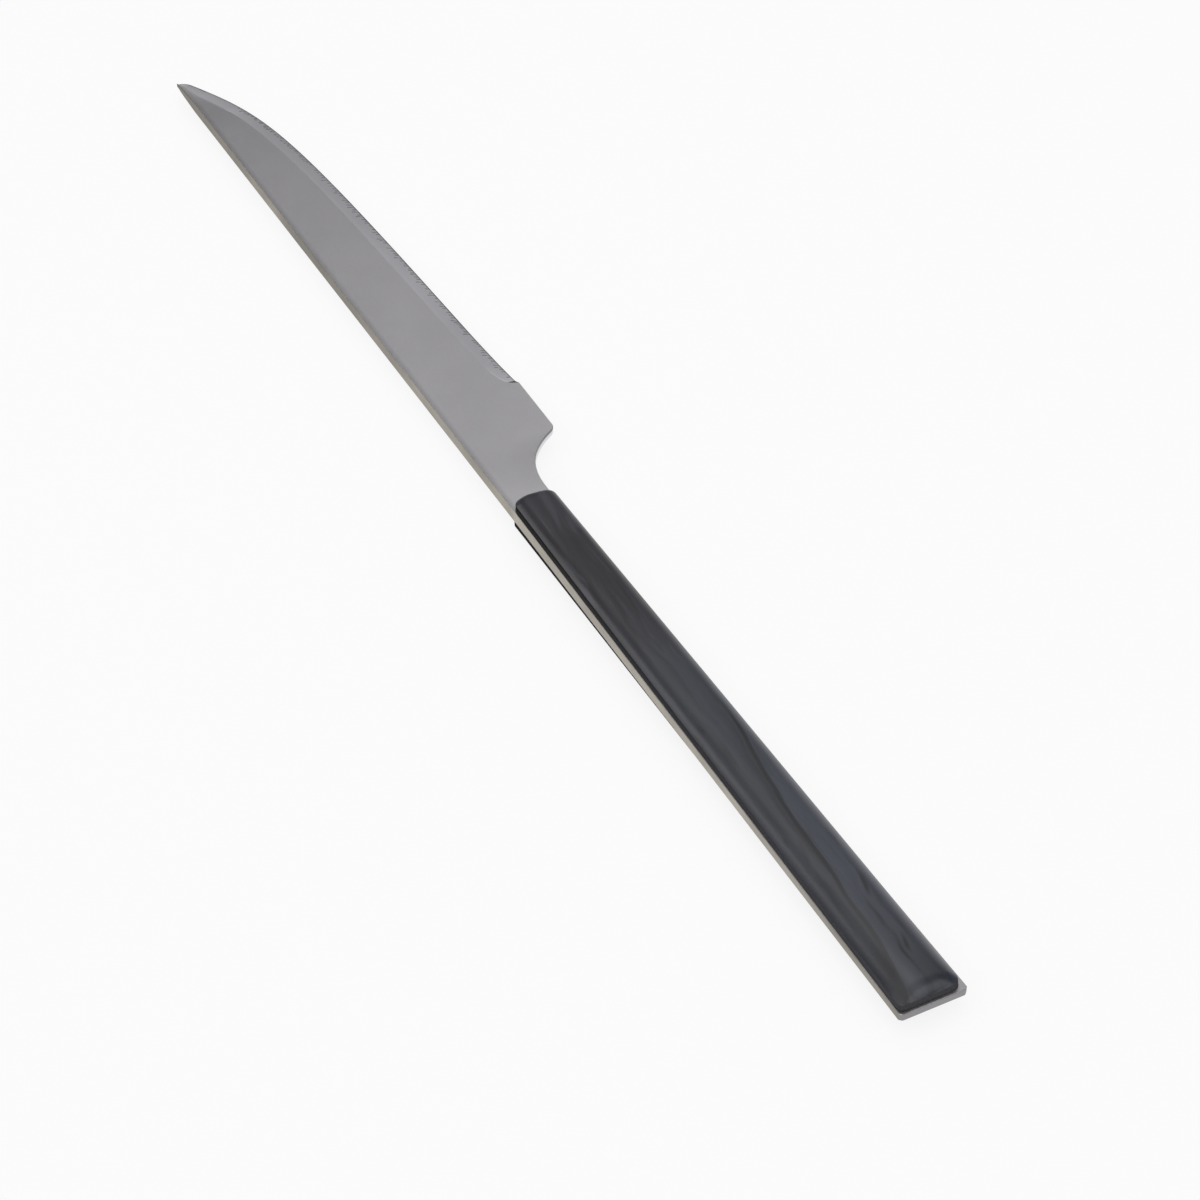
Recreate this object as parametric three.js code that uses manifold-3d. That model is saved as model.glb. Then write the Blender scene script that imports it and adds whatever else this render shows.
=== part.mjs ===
// Dessert knife with a full tang and two resin scales. Millimetres, +Z up.
// The knife lies on its lower scale. X runs from the tip (-) to the butt (+),
// Y from the spine (-) to the cutting edge (+). The origin is the middle of
// the footprint, at the height of the table.

import * as THREE from 'three';
import { mergeVertices } from 'three/addons/utils/BufferGeometryUtils.js';
import Module from 'manifold-3d';

const wasm = await Module();
wasm.setup();

// Lengths along the knife
const BLADE_LENGTH = 105.4;
const HANDLE_LENGTH = 104.5;
const HEEL_LAND = 10.5;
const CHOIL_LENGTH = 10;
const NECK_LENGTH = 1.6;
const LENGTH = BLADE_LENGTH + HANDLE_LENGTH;

// Depths from spine to edge
const HEEL_DEPTH = 13.9;
const GROUND_DEPTH = 13.4;
const FRONT_WIDTH = 6.35;
const BUTT_WIDTH = 10.2;
const SPINE_DIP = 0.5;

// Thickness of the plate, measured along the spine and at the grind line
const TIP_THICKNESS = 1.9;
const FRONT_THICKNESS = 2.1;
const BUTT_THICKNESS = 1.25;
const GRIND_THICKNESS = 1.3;
const EDGE_THICKNESS = 0.1;

// Ground edge
const BEVEL_WIDTH = 2.5;
const TIP_ANGLE = THREE.MathUtils.degToRad(30.6);
const EDGE_END_ANGLE = THREE.MathUtils.degToRad(2.9);
const NOSE_CUT = 2.1;
const NOSE_ROUND = 1.1;
const NOSE_THICKNESS = 0.7;
const NOSE_SLOPE = 0.15;
const PLUNGE_LENGTH = 0.9;
const TOOTH_PITCH = 1.2;
const TOOTH_DEPTH = 0.05;
const TOOTH_HEIGHT = 0.9;
const PLAIN_TIP = 9;

// Heel and choil
const HEEL_ROUND = 0.8;
const CHOIL_DROP = 3.3;

// Butt of the plate
const BUTT_RAKE = 0.45;
const NEAR_CHAMFER = 0.45;
const FAR_CHAMFER = 0.45;

// Scales
const SCALE_THICKNESS = 2;
const FRONT_RAKE = 1;
const LEDGE = 0.2;
const FAR_LEDGE_FRONT = 0.35;
const FAR_LEDGE_BUTT = 0.5;
const LOWER_SETBACK = 0.6;
const FRONT_WALL = 1.3;
const BUTT_WALL = 0.4;
const FRONT_LEAN = 0.04;
const BUTT_LEAN = 0.2;
const FRONT_SHOULDER = 0.5;
const BUTT_SHOULDER = 1.3;
const CROWN_RISE = 0.15;
const CROWN_WIDTH = 0.6;
const NEAR_FRONT_ROUND = 1.6;
const FAR_FRONT_ROUND = 0.9;
const NEAR_BUTT_ROUND = 1.2;
const FAR_BUTT_ROUND = 2.5;

// Adhesive and hidden pins
const FILM_THICKNESS = 0.1;
const FILM_INSET = 0.4;
const SEAT_GAP = 0.02;
const PIN_RADIUS = 1.25;
const PIN_CLEARANCE = 0.2;
const PIN_COVER = 0.8;
const PIN_END_GAP = 0.2;

// Counts and shares
const EDGE_CURVE_STEPS = 240;
const CHOIL_STEPS = 8;
const CORNER_STEPS = 5;
const SHOULDER_STEPS = 3;
const PIN_SIDES = 24;
const TIP_PULL_SHARE = 0.225;
const EDGE_PULL_SHARE = 0.837;
const NOSE_SHARES = [0.012, 0.035, 0.07, 0.122, 0.2, 0.35, 0.55, 0.78];
const NOSE_BLUNT_SHARE = 0.3;
const NOSE_FLAT_SHARE = 0.35;
const TANG_LINE_SHARES = [0.5, 0.8];
const PIN_SHARES = [0.13, 0.5, 0.87];

// Places that follow from the sizes above, measured from the tip
const NECK_START = BLADE_LENGTH - NECK_LENGTH;
const CHOIL_START = NECK_START - CHOIL_LENGTH;
const LAND_START = CHOIL_START - HEEL_LAND;
const GROUND_END = LAND_START - PLUNGE_LENGTH;
const MID_HEIGHT = FRONT_THICKNESS / 2 + FILM_THICKNESS + 2 * SEAT_GAP + SCALE_THICKNESS;

const mix = THREE.MathUtils.lerp;

// Share of the way along the handle, zero at the front of the scales
function handleShare(x) {
  return (x - BLADE_LENGTH) / HANDLE_LENGTH;
}

// The spine is two straight runs that meet, slightly dipped, at the handle
function spineY(x) {
  if (x < BLADE_LENGTH) return SPINE_DIP * x / BLADE_LENGTH;
  return SPINE_DIP * (1 - handleShare(x));
}

// The far side of the tang spreads evenly towards the butt
function tangFarY(x) {
  return spineY(x) + mix(FRONT_WIDTH, BUTT_WIDTH, handleShare(x));
}

// The plate thins a little to the tip and clearly to the butt
function halfThickness(x) {
  if (x < BLADE_LENGTH) return mix(TIP_THICKNESS, FRONT_THICKNESS, x / BLADE_LENGTH) / 2;
  return mix(FRONT_THICKNESS, BUTT_THICKNESS, handleShare(x)) / 2;
}

// The cutting edge is one curve. It starts on the spine line ahead of the
// tip, which is nipped off blunt, and runs to the end of the grind.
function edgeCurve() {
  const start = new THREE.Vector2(-NOSE_CUT, 0);
  const end = new THREE.Vector2(GROUND_END, GROUND_DEPTH);
  const tipPull = TIP_PULL_SHARE * GROUND_END;
  const endPull = EDGE_PULL_SHARE * GROUND_END;
  return new THREE.CubicBezierCurve(
    start,
    new THREE.Vector2(Math.cos(TIP_ANGLE), Math.sin(TIP_ANGLE)).multiplyScalar(tipPull).add(start),
    new THREE.Vector2(-Math.cos(EDGE_END_ANGLE), -Math.sin(EDGE_END_ANGLE)).multiplyScalar(endPull).add(end),
    end,
  ).getPoints(EDGE_CURVE_STEPS);
}

const edgePoints = edgeCurve();

// Depth of the ground edge at a place along the blade
function groundEdgeY(x) {
  const after = edgePoints.findIndex((point) => point.x >= x);
  if (after < 1) return GROUND_DEPTH;
  const a = edgePoints[after - 1];
  const b = edgePoints[after];
  const sharp = mix(a.y, b.y, (x - a.x) / (b.x - a.x));
  if (x >= NOSE_ROUND) return sharp;
  const round = Math.sqrt(1 - (1 - x / NOSE_ROUND) ** 2);
  return mix(spineY(x), sharp, mix(NOSE_BLUNT_SHARE, 1, round));
}

// Closed skin through rings of equally many points, with a fan on each end
function skin(rings, flipped = false) {
  const count = rings[0].length;
  const points = rings.flat();
  const faces = [];
  for (let r = 0; r + 1 < rings.length; r += 1) {
    for (let i = 0; i < count; i += 1) {
      const a = r * count + i;
      const b = r * count + (i + 1) % count;
      faces.push([a, b, b + count], [a, b + count, a + count]);
    }
  }
  for (const [ring, first, turn] of [[rings[0], 0, true], [rings.at(-1), points.length - count, false]]) {
    const centre = new THREE.Vector3();
    ring.forEach((point) => centre.addScaledVector(point, 1 / count));
    const apex = points.push(centre) - 1;
    for (let i = 0; i < count; i += 1) {
      const a = first + i;
      const b = first + (i + 1) % count;
      faces.push(turn ? [apex, b, a] : [apex, a, b]);
    }
  }
  const geometry = new THREE.BufferGeometry().setFromPoints(points);
  geometry.setIndex(faces.flatMap(([a, b, c]) => (flipped ? [a, c, b] : [a, b, c])));
  return geometry;
}

// One section across the blade: spine, grind line, tooth root and edge, on
// the upper face and again on the lower
function bladeSection(x, edgeY, toothCut) {
  const spine = spineY(x);
  const depth = edgeY - spine;
  const grindHalf = GRIND_THICKNESS / 2;
  const edgeHalf = EDGE_THICKNESS / 2;
  const flatWidth = depth - BEVEL_WIDTH;
  const bevelHalf = (y) => mix(edgeHalf, grindHalf, Math.min((edgeY - y) / BEVEL_WIDTH, 1));
  const noseHalf = Math.max(NOSE_THICKNESS / 2, bevelHalf(spine));
  const spineHalf = Math.min(halfThickness(x), noseHalf + NOSE_SLOPE * Math.max(flatWidth, 0));
  const grind = spine + Math.max(flatWidth, NOSE_FLAT_SHARE * depth);
  const tooth = edgeY - Math.min(TOOTH_HEIGHT, (edgeY - grind) / 2);
  const upper = [
    [spine, spineHalf],
    [grind, bevelHalf(grind)],
    [tooth, bevelHalf(tooth)],
    [edgeY - toothCut, edgeHalf],
  ];
  return mirrored(x, upper);
}

// Upper points and their mirror images, as one ring at x
function mirrored(x, upper) {
  const lower = upper.map(([y, half]) => [y, -half]).reverse();
  return [...upper, ...lower].map(([y, z]) => new THREE.Vector3(x, y, z));
}

// Heel, choil and neck aren't ground: the flats of the blade run on to the
// outline and level out towards the handle
function heelSection(x, edgeY) {
  const spine = spineY(x);
  const spineHalf = halfThickness(x);
  const slope = (spineHalf - GRIND_THICKNESS / 2) / (HEEL_DEPTH - BEVEL_WIDTH - spine);
  const fade = THREE.MathUtils.smoothstep(x, CHOIL_START, NECK_START);
  const upper = [0, ...TANG_LINE_SHARES, 1].map((share) => {
    const y = mix(spine, edgeY, share);
    return [y, spineHalf - (1 - fade) * slope * (y - spine)];
  });
  return mirrored(x, upper);
}

// One section across the tang. Near and far points may differ in x, because
// the butt is cut slightly off square.
function tangSection(nearX, farX, nearCut, farCut) {
  const near = spineY(nearX) + nearCut;
  const far = tangFarY(farX) - farCut;
  const upper = [0, ...TANG_LINE_SHARES, 1].map((share) => {
    const x = mix(nearX, farX, share);
    return new THREE.Vector3(x, mix(near, far, share), halfThickness(x));
  });
  const lower = upper.map((p) => new THREE.Vector3(p.x, p.y, -p.z)).reverse();
  return [...upper, ...lower];
}

// Outline of heel and choil: blunt land, rounded heel corner, hollow curve
function heelOutline() {
  const corner = new THREE.QuadraticBezierCurve(
    new THREE.Vector2(CHOIL_START - HEEL_ROUND, HEEL_DEPTH),
    new THREE.Vector2(CHOIL_START, HEEL_DEPTH),
    new THREE.Vector2(CHOIL_START + HEEL_ROUND / 2, HEEL_DEPTH - HEEL_ROUND),
  ).getPoints(CORNER_STEPS);
  const neckDepth = tangFarY(BLADE_LENGTH);
  const hollow = new THREE.QuadraticBezierCurve(
    corner.at(-1),
    new THREE.Vector2(CHOIL_START + CHOIL_DROP, neckDepth),
    new THREE.Vector2(NECK_START, neckDepth),
  ).getPoints(CHOIL_STEPS);
  return [new THREE.Vector2(LAND_START, HEEL_DEPTH), ...corner, ...hollow.slice(1)];
}

// Plate of blade and tang, drilled for the hidden pins
function bladeAndTang() {
  const sections = [0, ...NOSE_SHARES].map((share) => {
    const x = share * PLAIN_TIP;
    return bladeSection(x, groundEdgeY(x), 0);
  });
  const halfPitches = 2 * Math.floor((GROUND_END - PLAIN_TIP) / TOOTH_PITCH);
  for (let i = 0; i <= halfPitches; i += 1) {
    const x = PLAIN_TIP + i * TOOTH_PITCH / 2;
    sections.push(bladeSection(x, groundEdgeY(x), i % 2 ? TOOTH_DEPTH : 0));
  }
  const lastTooth = PLAIN_TIP + halfPitches * TOOTH_PITCH / 2;
  if (GROUND_END - lastTooth > TOOTH_DEPTH) sections.push(bladeSection(GROUND_END, GROUND_DEPTH, 0));
  heelOutline().forEach((point) => sections.push(heelSection(point.x, point.y)));
  sections.push(heelSection(BLADE_LENGTH, tangFarY(BLADE_LENGTH)));
  const nearEnd = LENGTH - BUTT_RAKE;
  sections.push(tangSection(nearEnd - NEAR_CHAMFER, LENGTH - FAR_CHAMFER, 0, 0));
  sections.push(tangSection(nearEnd, LENGTH, NEAR_CHAMFER, FAR_CHAMFER));
  return drilled(skin(sections, true));
}

// Four lines round a scale, each drawn in by an inset that may differ
// between front and butt, meeting in rounded corners
function scaleOutline(frontInset, buttInset) {
  const nearFront = new THREE.Vector2(BLADE_LENGTH, spineY(BLADE_LENGTH) + LEDGE);
  const frontX = BLADE_LENGTH + FRONT_RAKE;
  const farFront = new THREE.Vector2(frontX, tangFarY(frontX) - FAR_LEDGE_FRONT);
  const nearButt = new THREE.Vector2(LENGTH - BUTT_RAKE - LEDGE, spineY(LENGTH) + LEDGE);
  const farButt = new THREE.Vector2(LENGTH - LEDGE, tangFarY(LENGTH) - FAR_LEDGE_BUTT);
  const corners = [
    [nearFront, frontInset, frontInset, NEAR_FRONT_ROUND],
    [nearButt, -buttInset, buttInset, NEAR_BUTT_ROUND],
    [farButt, -buttInset, -buttInset, FAR_BUTT_ROUND],
    [farFront, frontInset, -frontInset, FAR_FRONT_ROUND],
  ].map(([corner, dx, dy, round]) => ({
    at: new THREE.Vector2(corner.x + dx, corner.y + dy),
    round: Math.max(round - Math.abs(dx), round / CORNER_STEPS),
  }));
  return corners.flatMap(({ at, round }, i) => {
    const towards = (j) => corners[(i + j) % 4].at.clone().sub(at).setLength(round).add(at);
    return new THREE.QuadraticBezierCurve(towards(3), at, towards(1)).getPoints(CORNER_STEPS);
  });
}

// Ring round a scale at a height given for its front and its butt
function scaleRing(frontInset, buttInset, heightAt) {
  return scaleOutline(frontInset, buttInset).map((p) => new THREE.Vector3(p.x, p.y, heightAt(p.x)));
}

// Height above the mid plane where a scale sits on its adhesive
function seatHeight(x) {
  return halfThickness(x) + 2 * SEAT_GAP + FILM_THICKNESS;
}

// The lower scale is set back at the butt
function setback(side) {
  return side < 0 ? LOWER_SETBACK : 0;
}

// A scale rises in a steep wall, turns over a round shoulder and ends in a
// low crown with a flat middle, on which the knife lies
function scale(side) {
  const wallAt = (x) => seatHeight(x) + mix(FRONT_WALL, BUTT_WALL, handleShare(x));
  const shoulderTop = MID_HEIGHT - CROWN_RISE;
  const buttStart = setback(side);
  const rings = [
    scaleRing(0, buttStart, seatHeight),
    scaleRing(FRONT_LEAN, buttStart + BUTT_LEAN, wallAt),
  ];
  for (let i = 1; i <= SHOULDER_STEPS; i += 1) {
    const turn = Math.PI / 2 * i / SHOULDER_STEPS;
    const inwards = 1 - Math.cos(turn);
    rings.push(scaleRing(
      FRONT_LEAN + FRONT_SHOULDER * inwards,
      buttStart + BUTT_LEAN + BUTT_SHOULDER * inwards,
      (x) => mix(wallAt(x), shoulderTop, Math.sin(turn)),
    ));
  }
  rings.push(scaleRing(
    FRONT_LEAN + FRONT_SHOULDER + CROWN_WIDTH,
    buttStart + BUTT_LEAN + BUTT_SHOULDER + CROWN_WIDTH,
    () => MID_HEIGHT,
  ));
  return drilled(skin(turned(rings, side), side < 0));
}

// Thin layer of adhesive, set back from the edge of the scale
function adhesiveFilm(side) {
  const rings = [0, FILM_THICKNESS].map((rise) => (
    scaleRing(FILM_INSET, setback(side) + FILM_INSET, (x) => halfThickness(x) + SEAT_GAP + rise)
  ));
  return drilled(skin(turned(rings, side), side < 0));
}

// Rings above the mid plane, or the same rings mirrored below it
function turned(rings, side) {
  return rings.map((ring) => ring.map((p) => new THREE.Vector3(p.x, p.y, side * p.z)));
}

function pinPlace(share) {
  const x = BLADE_LENGTH + share * HANDLE_LENGTH;
  return new THREE.Vector3(x, (spineY(x) + tangFarY(x)) / 2, 0);
}

function upright(radius, halfLength) {
  return new THREE.CylinderGeometry(radius, radius, 2 * halfLength, PIN_SIDES).rotateX(Math.PI / 2);
}

// Solid of a closed mesh, for cutting
function solid(geometry) {
  const bare = geometry.clone();
  bare.deleteAttribute('normal');
  bare.deleteAttribute('uv');
  const merged = mergeVertices(bare);
  return new wasm.Manifold(new wasm.Mesh({
    numProp: 3,
    vertProperties: new Float32Array(merged.attributes.position.array),
    triVerts: new Uint32Array(merged.index.array),
  }));
}

// The same holes go through everything that a hidden pin passes
function drilled(geometry) {
  let body = solid(geometry);
  const halfDepth = MID_HEIGHT - PIN_COVER + PIN_END_GAP;
  for (const share of PIN_SHARES) {
    const place = pinPlace(share);
    const hole = upright(PIN_RADIUS + PIN_CLEARANCE, halfDepth).translate(place.x, place.y, place.z);
    body = body.subtract(solid(hole));
  }
  const mesh = body.getMesh();
  const cut = new THREE.BufferGeometry();
  const corners = new Float32Array(mesh.vertProperties);
  cut.setAttribute('position', new THREE.BufferAttribute(corners, mesh.numProp));
  cut.setIndex(new THREE.BufferAttribute(new Uint32Array(mesh.triVerts), 1));
  return cut;
}

const steel = new THREE.MeshStandardMaterial({ color: 0x9a9896, metalness: 1, roughness: 0.36 });
const resin = new THREE.MeshStandardMaterial({ color: 0x4a4c51, metalness: 0, roughness: 0.3 });
const epoxy = new THREE.MeshStandardMaterial({ color: 0xc9bf9c, metalness: 0, roughness: 0.45 });
const pinSteel = new THREE.MeshStandardMaterial({ color: 0xb4b4b2, metalness: 1, roughness: 0.3 });

const knife = new THREE.Group();
knife.position.set(-LENGTH / 2, -HEEL_DEPTH / 2, MID_HEIGHT);

function addPiece(name, geometry, material) {
  const finished = geometry.clone();
  finished.computeVertexNormals();
  const mesh = new THREE.Mesh(finished, material);
  mesh.name = name;
  knife.add(mesh);
  return mesh;
}

addPiece('blade_and_tang', bladeAndTang(), steel);
addPiece('upper_scale', scale(1), resin);
addPiece('lower_scale', scale(-1), resin);
addPiece('upper_adhesive_film', adhesiveFilm(1), epoxy);
addPiece('lower_adhesive_film', adhesiveFilm(-1), epoxy);
['front', 'middle', 'rear'].forEach((where, i) => {
  const pin = addPiece(`${where}_hidden_pin`, upright(PIN_RADIUS, MID_HEIGHT - PIN_COVER), pinSteel);
  pin.position.copy(pinPlace(PIN_SHARES[i]));
});

const part = new THREE.Group();
part.add(knife);

export default part;
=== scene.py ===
"""Dessert knife with a full tang and two marbled resin scales, lying on its side.

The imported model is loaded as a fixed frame. Fine meshes take the place of its
plate and its two scales, and every piece gets the finish of its real material.
Lengths are metres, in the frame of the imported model: X runs from the tip to
the butt, Y from the spine to the cutting edge and Z up.
"""

import math
import random

import bpy
import numpy as np
from mathutils import Matrix, Vector


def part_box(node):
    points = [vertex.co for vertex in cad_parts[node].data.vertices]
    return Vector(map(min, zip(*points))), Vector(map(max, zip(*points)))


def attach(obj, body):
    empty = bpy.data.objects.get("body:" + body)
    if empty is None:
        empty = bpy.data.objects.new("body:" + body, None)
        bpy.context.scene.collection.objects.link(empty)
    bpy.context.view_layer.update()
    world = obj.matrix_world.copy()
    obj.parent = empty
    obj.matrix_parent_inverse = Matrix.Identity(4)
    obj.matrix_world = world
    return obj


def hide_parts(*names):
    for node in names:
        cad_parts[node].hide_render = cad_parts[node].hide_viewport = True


bl_info = {
    "name": "Dessert knife",
    "version": (1, 0, 0),
    "blender": (4, 5, 0),
    "location": "3D View > Sidebar > Knife",
    "description": "Builds a full tang dessert knife with marbled resin scales around its packed frame",
    "category": "Object",
}

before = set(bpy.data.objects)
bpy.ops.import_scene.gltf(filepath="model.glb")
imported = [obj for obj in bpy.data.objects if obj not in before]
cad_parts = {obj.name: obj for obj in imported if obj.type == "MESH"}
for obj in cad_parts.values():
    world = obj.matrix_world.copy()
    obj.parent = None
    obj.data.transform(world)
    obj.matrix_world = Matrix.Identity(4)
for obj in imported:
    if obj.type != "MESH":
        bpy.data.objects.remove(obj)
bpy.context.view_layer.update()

MM = 0.001
BODY = "root"

# Where the plate lies in the frame
PLATE_LOW, PLATE_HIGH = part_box("blade_and_tang")
LENGTH = PLATE_HIGH.x - PLATE_LOW.x
HEEL_DEPTH = PLATE_HIGH.y - PLATE_LOW.y
MID_HEIGHT = (PLATE_LOW.z + PLATE_HIGH.z) / 2
UPPER_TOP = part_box("upper_scale")[1].z

# Plate, lengths from the tip and depths from the spine
BLADE_LENGTH = 105.4 * MM
HANDLE_LENGTH = LENGTH - BLADE_LENGTH
HEEL_LAND = 10.5 * MM
CHOIL_LENGTH = 10 * MM
NECK_LENGTH = 1.6 * MM
GROUND_DEPTH = 13.4 * MM
FRONT_WIDTH = 6.43 * MM
BUTT_WIDTH = 10.2 * MM
SPINE_DIP = 0.42 * MM
TIP_THICKNESS = 1.9 * MM
FRONT_THICKNESS = 2.1 * MM
BUTT_THICKNESS = 1.25 * MM
GRIND_THICKNESS = 1.3 * MM
EDGE_THICKNESS = 0.1 * MM
TIP_ANGLE = math.radians(30.6)
EDGE_END_ANGLE = math.radians(2.9)
NOSE_CUT = 2.1 * MM
NOSE_ROUND = 1.1 * MM
NOSE_THICKNESS = 0.7 * MM
NOSE_SLOPE = 0.15
NOSE_BLUNT_SHARE = 0.3
NOSE_FLAT_SHARE = 0.35
TIP_PULL_SHARE = 0.225
EDGE_PULL_SHARE = 0.837
PLUNGE_LENGTH = 0.9 * MM
RUN_OUT = 5.2 * MM
EDGE_FALL = 0.3 * MM
EDGE_FALL_LENGTH = 14 * MM
LAND_SPREAD = 3 * MM
PLAIN_TIP = 9 * MM
HEEL_ROUND = 0.8 * MM
CHOIL_DROP = 3.3 * MM
BUTT_RAKE = 0.45 * MM
BUTT_CHAMFER = 0.45 * MM

NECK_START = BLADE_LENGTH - NECK_LENGTH
CHOIL_START = NECK_START - CHOIL_LENGTH
LAND_START = CHOIL_START - HEEL_LAND
GROUND_END = LAND_START - PLUNGE_LENGTH

# Ground bevel and its tooth marks
HOLLOW = 1.15
# The cutting line, this wide, and the notch, from this far past the end of the grind and this wide, take a
# dark finish: a painted dark reflection along the line, painted shade in the notch
HONED_WIDTH = 0.2 * MM
NOTCH_START = 0.15 * MM
NOTCH_WIDTH = 1.3 * MM
SLANT = 0.45
SLANT_FADE = 3 * MM
TOOTH_HALF_WIDTH = 0.15 * MM
TOOTH_FLOOR_SHARE = 0.6
TOOTH_SEED = 11
PITCH_SPREAD = (0.6, 1.4)
STRONG_SHARE = 0.3
STRONG_DEPTH = (0.8, 1.0)
STRONG_REACH = (0.8, 1.2)
WEAK_DEPTH = (0.3, 0.7)
WEAK_REACH = (0.55, 0.85)
# Marks stronger than this are darkened with painted shade
DEEP_MARK = 0.38

# Scales
FRONT_RAKE = 1 * MM
NEAR_LEDGE_FRONT = 0.04 * MM
NEAR_LEDGE_BUTT = 0.22 * MM
LOWER_LEDGE = 0.25 * MM
BUTT_LEDGE = 0.5 * MM
FAR_LEDGE_FRONT = 0.2 * MM
FAR_LEDGE_BUTT = 0.6 * MM
LOWER_SETBACK = 0.6 * MM
FRONT_WALL = 1.25 * MM
BUTT_WALL = 0.9 * MM
FRONT_LEAN = 0.04 * MM
BUTT_LEAN = 0.08 * MM
FILM_ROOM = 0.14 * MM
RIM_GAP = 0.02 * MM
RIM_WIDTH = 0.38 * MM
WALL_RINGS = 3
NEAR_FRONT_ROUND = 1.6 * MM
LOWER_FRONT_ROUND = 0.4 * MM
FAR_FRONT_ROUND = 0.7 * MM
NEAR_BUTT_ROUND = 1.0 * MM
FAR_BUTT_ROUND = 1.7 * MM
LEAST_ROUND_SHARE = 0.2
CROWN_END = 0.97
CROWN_PULL = 3 * MM
FRONT_START = 0.8
FRONT_PART = 25 * MM

# Stage: the floor, how much of its white is shown as it is, apart from the knife's shadow, and
# the width of the camera's sensor in millimetres
FLOOR_SIZE = 40
SHOWN_WHITE = 0.85
SENSOR_WIDTH = 36

# How finely the meshes are cut
EDGE_CURVE_STEPS = 1200
TOOTH_STEP = 0.3 * MM
PLUNGE_STEP = 0.06 * MM
BLADE_STEP = 0.5 * MM
TANG_STEP = 2 * MM
NOSE_RINGS = 16
NOSE_LENGTH = 1.6 * MM
NOSE_SPACING = 1.6
SPINE_SHARES = (0, 0.5)
FLAT_POINTS = 8
BEVEL_POINTS = 12
BEVEL_SPACING = 1.5
ARRIS_POINTS = 3
ARRIS_START = 0.3
ARRIS_ROOM = 1.02
SLIVER = 0.01 * MM
CORNER_POINTS = 12
SIDE_POINTS = 60
END_POINTS = 6
CROWN_POINTS = 18
CROWN_SPACING = 1.4

# Angles up to which the facets of the plate and of the scales are shaded as one surface
FACET_ANGLE = math.radians(11)
ROUND_ANGLE = math.radians(35)

# How far up the normals of walls and of eased corners point at most, and how far along the
# blade the normals of faces turned to the tip point at least
STEEP = 0.5
EASED = 0.9
SIDELONG = 0.3

# What every length and every fullness in the panel shares
DISTANCE = {"precision": 5, "unit": "LENGTH", "subtype": "DISTANCE"}
FULLNESS = {"min": 1.5, "max": 8}


def colour_setting(name, surface, default):
    """Setting that holds the colour of a surface."""
    return bpy.props.StringProperty(
        name=name, description=f"Colour of {surface}, as a hex value", default=default)


class KnifePlateSettings(bpy.types.PropertyGroup):
    bevel_width: bpy.props.FloatProperty(
        name="Bevel width", description="Width of the ground bevel along the cutting edge",
        default=2.5 * MM, min=0.5 * MM, max=4 * MM, **DISTANCE)
    arris: bpy.props.FloatProperty(
        name="Arris", description="Size of the eased corners of the plate",
        default=0.12 * MM, min=0.02 * MM, max=0.3 * MM, **DISTANCE)
    tooth_pitch: bpy.props.FloatProperty(
        name="Tooth pitch", description="Mean distance between the fine teeth of the edge",
        default=0.56 * MM, min=0.5 * MM, max=3 * MM, **DISTANCE)
    tooth_depth: bpy.props.FloatProperty(
        name="Tooth depth", description="How deep the fine teeth are cut into the bevel",
        default=0.04 * MM, min=0.0, max=0.3 * MM, **DISTANCE)
    tooth_height: bpy.props.FloatProperty(
        name="Tooth height", description="How far the tooth marks reach up the bevel",
        default=0.9 * MM, min=0.1 * MM, max=2 * MM, **DISTANCE)


class KnifeScaleSettings(bpy.types.PropertyGroup):
    near_fullness: bpy.props.FloatProperty(
        name="Near fullness", description="How full the crown is towards the spine, 2 is a plain arc",
        default=3, **FULLNESS)
    far_fullness: bpy.props.FloatProperty(
        name="Far fullness", description="How full the crown is towards the far side, 2 is a plain arc",
        default=3.8, **FULLNESS)
    far_front_fullness: bpy.props.FloatProperty(
        name="Far fullness in front", description="The same at the front end of a scale",
        default=6, **FULLNESS)
    front_fullness: bpy.props.FloatProperty(
        name="Front fullness", description="How full the crown is towards the blade, 2 is a plain arc",
        default=3, **FULLNESS)
    butt_fullness: bpy.props.FloatProperty(
        name="Butt fullness", description="How full the crown is towards the butt, 2 is a plain arc",
        default=2.6, **FULLNESS)
    front_reach: bpy.props.FloatProperty(
        name="Front reach", description="How far from the blade a scale is fully crowned",
        default=0.9 * MM, min=0.5 * MM, max=3 * MM, **DISTANCE)
    butt_reach: bpy.props.FloatProperty(
        name="Butt reach", description="How far from the butt a scale is fully crowned",
        default=3.5 * MM, min=0.5 * MM, max=5 * MM, **DISTANCE)


class KnifeFinishSettings(bpy.types.PropertyGroup):
    steel: colour_setting("Steel", "the satin steel", "#C5C3C6")
    bevel: colour_setting("Bevel", "the ground bevel", "#C9C7CC")
    blanked_edge: colour_setting("Blanked edge", "the plate's unpolished edges", "#B6B0A5")
    # The eased corners' pale warm colour is a painted highlight
    arris: colour_setting("Eased corner", "the plate's eased corners", "#E2DCCF")
    # The colour of the cuts is painted shade, and along the cutting line a painted dark reflection
    cuts: colour_setting("Coarse cuts", "the cutting line and its deeper marks", "#747276")
    # This colour also darkens the eased corners that face down: painted shade
    ground_end: colour_setting("Ground end", "the ground end of the tang", "#999799")
    bright: colour_setting("Polished wall", "the polished wall of the choil", "#D2D2D6")
    front_resin: colour_setting("Front of the resin", "the resin at the front", "#25242B")
    slate: colour_setting("Slate cloud", "the slate grey clouds in the resin", "#2B2C34")
    bluish: colour_setting("Bluish cloud", "the bluish clouds in the resin", "#3B3E4A")
    pale: colour_setting("Pale streak", "the pale streaks in the resin", "#50515C")
    vein: colour_setting("Vein", "the dark veins", "#16171C")
    # The walls' dark colours are painted shade, darker at the front
    front_wall: colour_setting("Front of the side walls", "the sanded walls at the front", "#2B2B2C")
    rear_wall: colour_setting("Rear of the side walls", "the sanded walls at the rear", "#4E4E51")


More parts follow.
